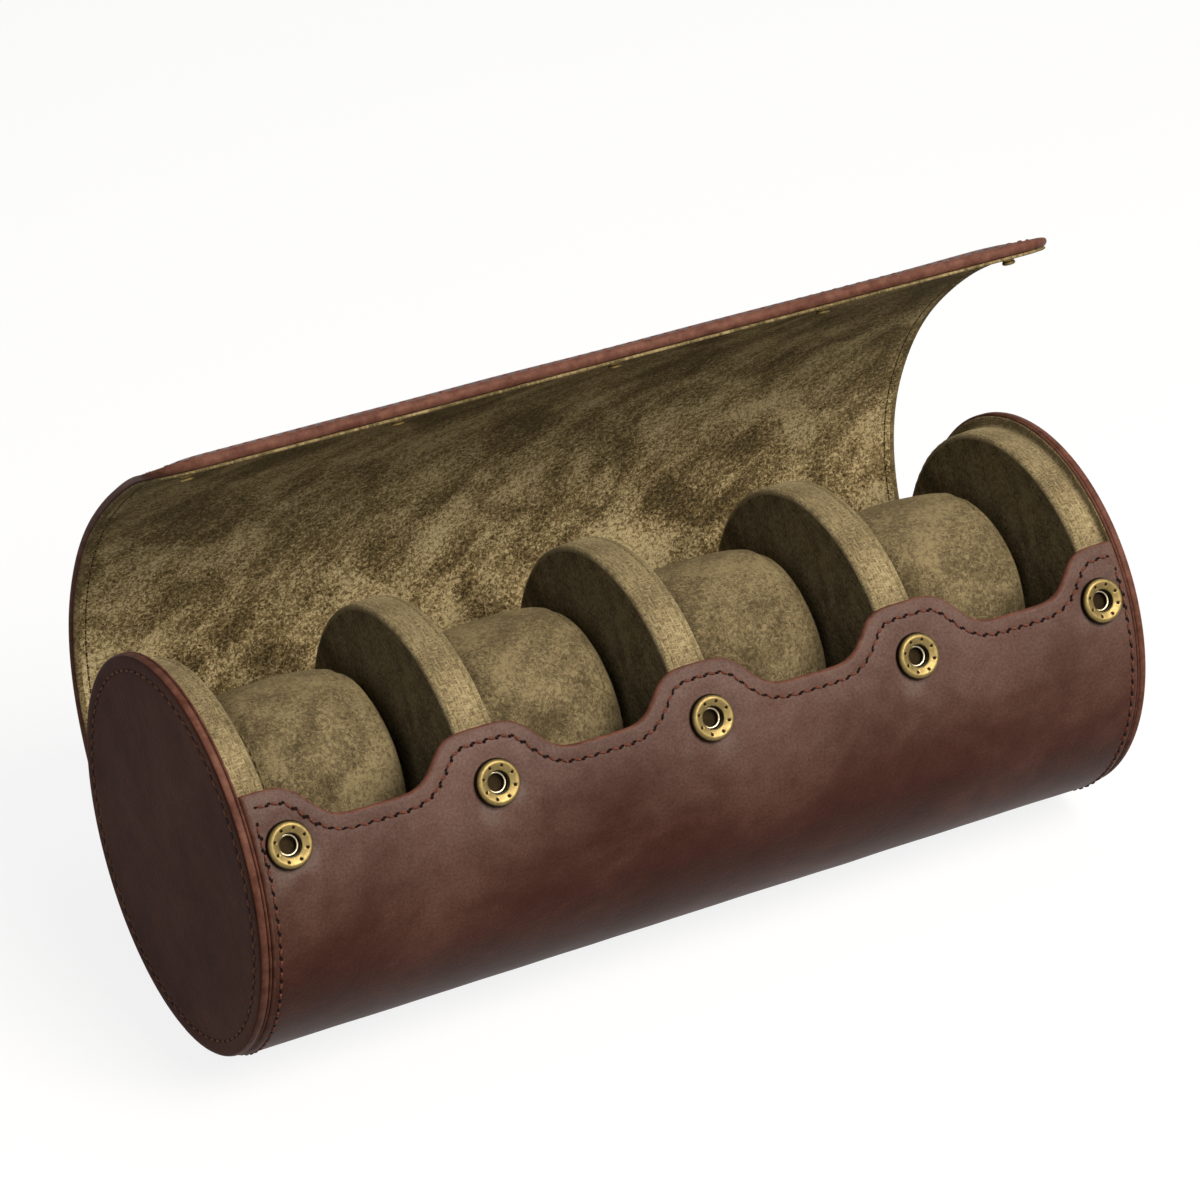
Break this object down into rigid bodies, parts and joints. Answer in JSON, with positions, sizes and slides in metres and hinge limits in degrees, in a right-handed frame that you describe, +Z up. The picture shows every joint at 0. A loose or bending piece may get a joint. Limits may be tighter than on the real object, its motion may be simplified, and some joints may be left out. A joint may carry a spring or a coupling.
{
  "type": "watch travel case",
  "caption": "Cylindrical leather travel roll, open, with round cloth-covered dividers, a lift-out pillow in each bay, a wrap-over lid and a row of press studs.",
  "frame": {"origin": "middle of the flat that the roll rests on, under its axis", "axes": "+X along the roll to the right end seen from the opening side, -Y to the front with the press studs, +Z up"},
  "size_m": [0.2644, 0.1274, 0.1681],
  "materials": {
    "wrap_leather": "satin",
    "cap_leather": "satin",
    "cap_piping": "satin",
    "suede_lining": "matte",
    "divider_cloth": "matte",
    "pillow_cloth": "matte",
    "foam": "matte",
    "wood_core": "matte",
    "board": "matte",
    "antique_brass": "satin",
    "dark_brass": "satin"
  },
  "bodies": {
    "case": {"case_leather": "wrap_leather", "case_board": "board", "case_lining": "suede_lining", "left_cap_leather": "cap_leather", "left_cap_board": "board", "left_cap_piping": "cap_piping", "left_pad_cover": "divider_cloth", "left_pad_core": "wood_core", "right_cap_leather": "cap_leather", "right_cap_board": "board", "right_cap_piping": "cap_piping", "right_pad_cover": "divider_cloth", "right_pad_core": "wood_core", "divider_cover_1": "divider_cloth", "divider_cover_2": "divider_cloth", "divider_cover_3": "divider_cloth", "divider_core_1": "wood_core", "divider_core_2": "wood_core", "divider_core_3": "wood_core", "snap_rings": "antique_brass", "snap_springs": "antique_brass", "snap_cups": "dark_brass"},
    "lid_strip": {"strip_leather": "wrap_leather", "strip_board": "board", "strip_lining": "suede_lining"},
    "lid_panel_1": {"panel_leather_1": "wrap_leather", "panel_board_1": "board", "panel_lining_1": "suede_lining"},
    "lid_panel_2": {"panel_leather_2": "wrap_leather", "panel_board_2": "board", "panel_lining_2": "suede_lining"},
    "lid_panel_3": {"panel_leather_3": "wrap_leather", "panel_board_3": "board", "panel_lining_3": "suede_lining"},
    "lid_panel_4": {"panel_leather_4": "wrap_leather", "panel_board_4": "board", "panel_lining_4": "suede_lining"},
    "lid_flap_1": {"flap_leather_1": "wrap_leather", "flap_board_1": "board", "flap_lining_1": "suede_lining"},
    "lid_flap_2": {"flap_leather_2": "wrap_leather", "flap_board_2": "board", "flap_lining_2": "suede_lining", "snap_studs": "dark_brass", "snap_rivets": "dark_brass"},
    "pillow_1": {"pillow_cover_1": "pillow_cloth", "pillow_core_1": "foam"},
    "pillow_2": {"pillow_cover_2": "pillow_cloth", "pillow_core_2": "foam"},
    "pillow_3": {"pillow_cover_3": "pillow_cloth", "pillow_core_3": "foam"},
    "pillow_4": {"pillow_cover_4": "pillow_cloth", "pillow_core_4": "foam"}
  },
  "joints": [
    {"name": "lid_lean", "type": "hinge", "parent": "case", "child": "lid_strip", "pos_m": [0, 0.01669, 0.00134], "axis": [1, 0, 0], "range_deg": [-24, 0]},
    {"name": "lid_curl_1", "type": "hinge", "parent": "lid_strip", "child": "lid_panel_1", "pos_m": [0, 0.02807, 0.01108], "axis": [1, 0, 0], "range_deg": [0, 3.3]},
    {"name": "lid_close", "type": "hinge", "parent": "lid_panel_1", "child": "lid_panel_2", "pos_m": [0, 0.04854, 0.02698], "axis": [1, 0, 0], "range_deg": [0, 25]},
    {"name": "lid_curl_2", "type": "hinge", "parent": "lid_panel_2", "child": "lid_panel_3", "pos_m": [0, 0.06503, 0.05183], "axis": [1, 0, 0], "range_deg": [0, 2]},
    {"name": "lid_curl_3", "type": "hinge", "parent": "lid_panel_3", "child": "lid_panel_4", "pos_m": [0, 0.06815, 0.08712], "axis": [1, 0, 0], "range_deg": [0, 10.2]},
    {"name": "lid_curl_4", "type": "hinge", "parent": "lid_panel_4", "child": "lid_flap_1", "pos_m": [0, 0.05216, 0.12126], "axis": [1, 0, 0], "range_deg": [0, 17.4]},
    {"name": "lid_curl_5", "type": "hinge", "parent": "lid_flap_1", "child": "lid_flap_2", "pos_m": [0, 0.02549, 0.14819], "axis": [1, 0, 0], "range_deg": [0, 28.3]},
    {"name": "pillow_lift_1", "type": "slide", "parent": "case", "child": "pillow_1", "axis": [0, 0.1736, -0.9848], "range_m": [-0.07, 0]},
    {"name": "pillow_lift_2", "type": "slide", "parent": "case", "child": "pillow_2", "axis": [0, 0.1736, -0.9848], "range_m": [-0.07, 0]},
    {"name": "pillow_lift_3", "type": "slide", "parent": "case", "child": "pillow_3", "axis": [0, 0.1736, -0.9848], "range_m": [-0.07, 0]},
    {"name": "pillow_lift_4", "type": "slide", "parent": "case", "child": "pillow_4", "axis": [0, 0.1736, -0.9848], "range_m": [-0.07, 0]}
  ],
  "couplings": [
    {"joint": "lid_curl_1", "follows": "lid_close", "ratio": 0.128},
    {"joint": "lid_curl_2", "follows": "lid_close", "ratio": 0.076},
    {"joint": "lid_curl_3", "follows": "lid_close", "ratio": 0.404},
    {"joint": "lid_curl_4", "follows": "lid_close", "ratio": 0.692},
    {"joint": "lid_curl_5", "follows": "lid_close", "ratio": 1.128}
  ]
}
